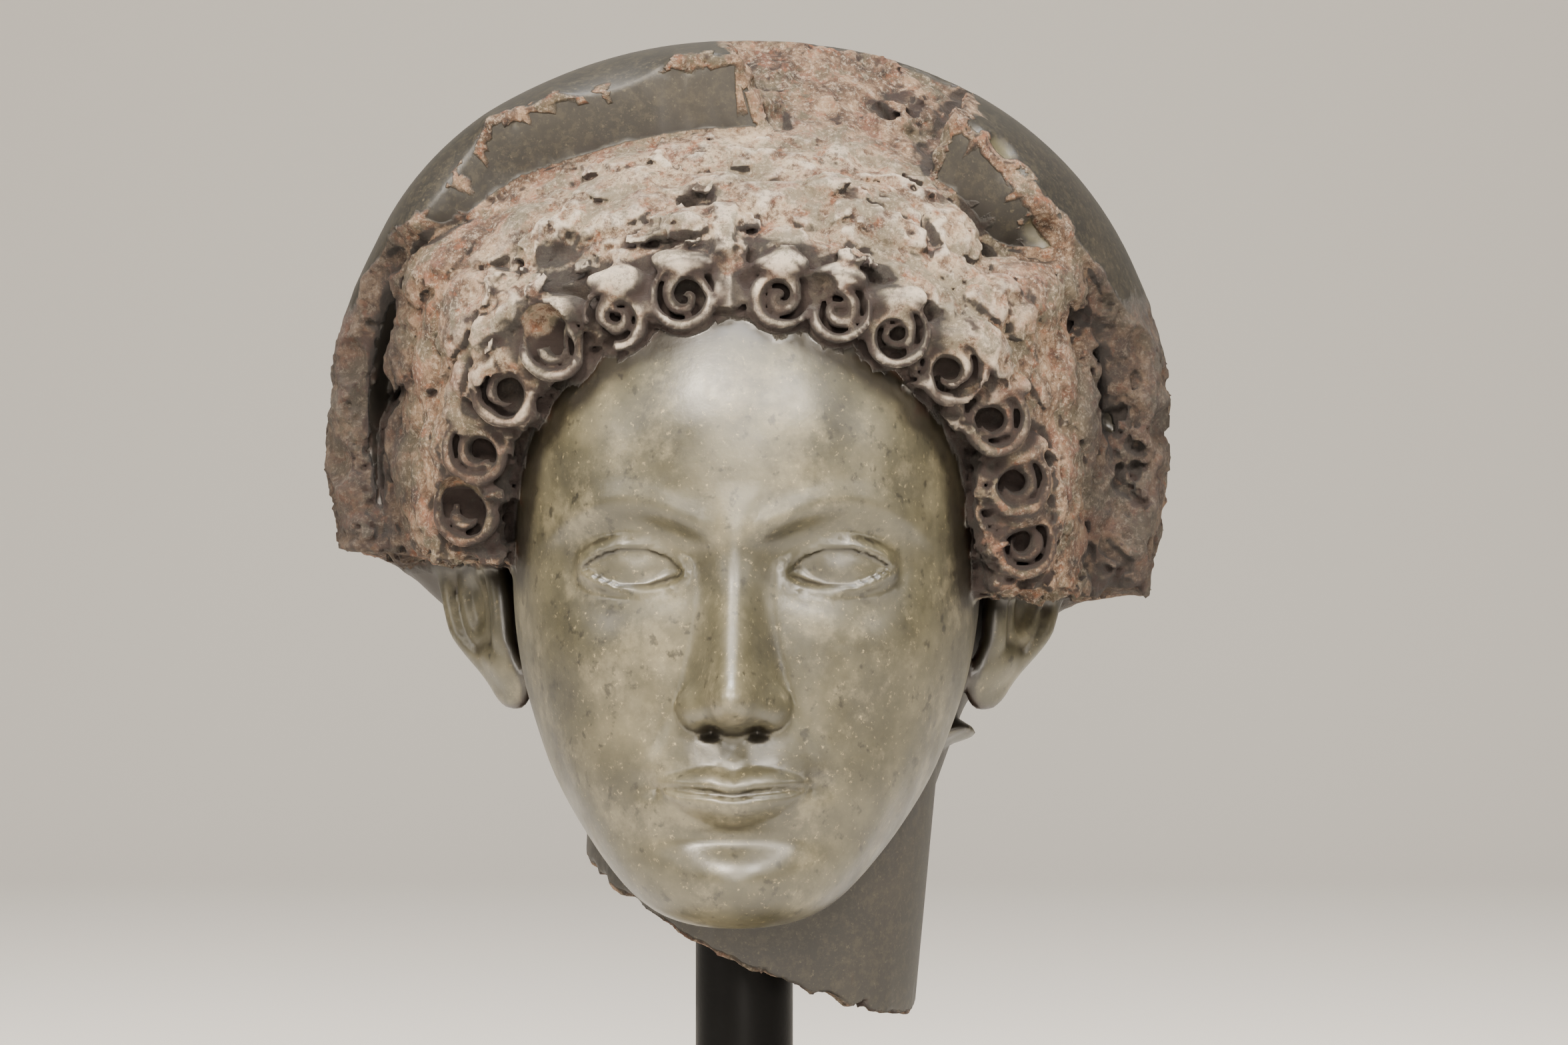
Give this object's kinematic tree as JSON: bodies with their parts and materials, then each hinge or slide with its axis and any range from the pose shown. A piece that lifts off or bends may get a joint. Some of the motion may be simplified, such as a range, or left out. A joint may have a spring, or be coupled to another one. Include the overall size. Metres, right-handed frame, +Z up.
{
  "type": "portrait bust",
  "caption": "Broken-off head of dark polished stone with snail curls under a veil, its veil edge and neck broken, held up by a round rod on a low square foot.",
  "frame": {"origin": "centre of the foot's flat underside, on the rod's axis", "axes": "+Z up along the rod, -Y the way the face looks, +X towards the viewer's right"},
  "size_m": [0.2657, 0.2352, 0.4264],
  "materials": {
    "stone": "polished dark green-grey stone, broken surfaces rough and beige",
    "rod_steel": "semi-gloss black paint",
    "foot_steel": "satin black paint"
  },
  "bodies": {
    "root": {"stone_head": "stone", "support_rod": "rod_steel", "mount_foot": "foot_steel"}
  },
  "joints": []
}
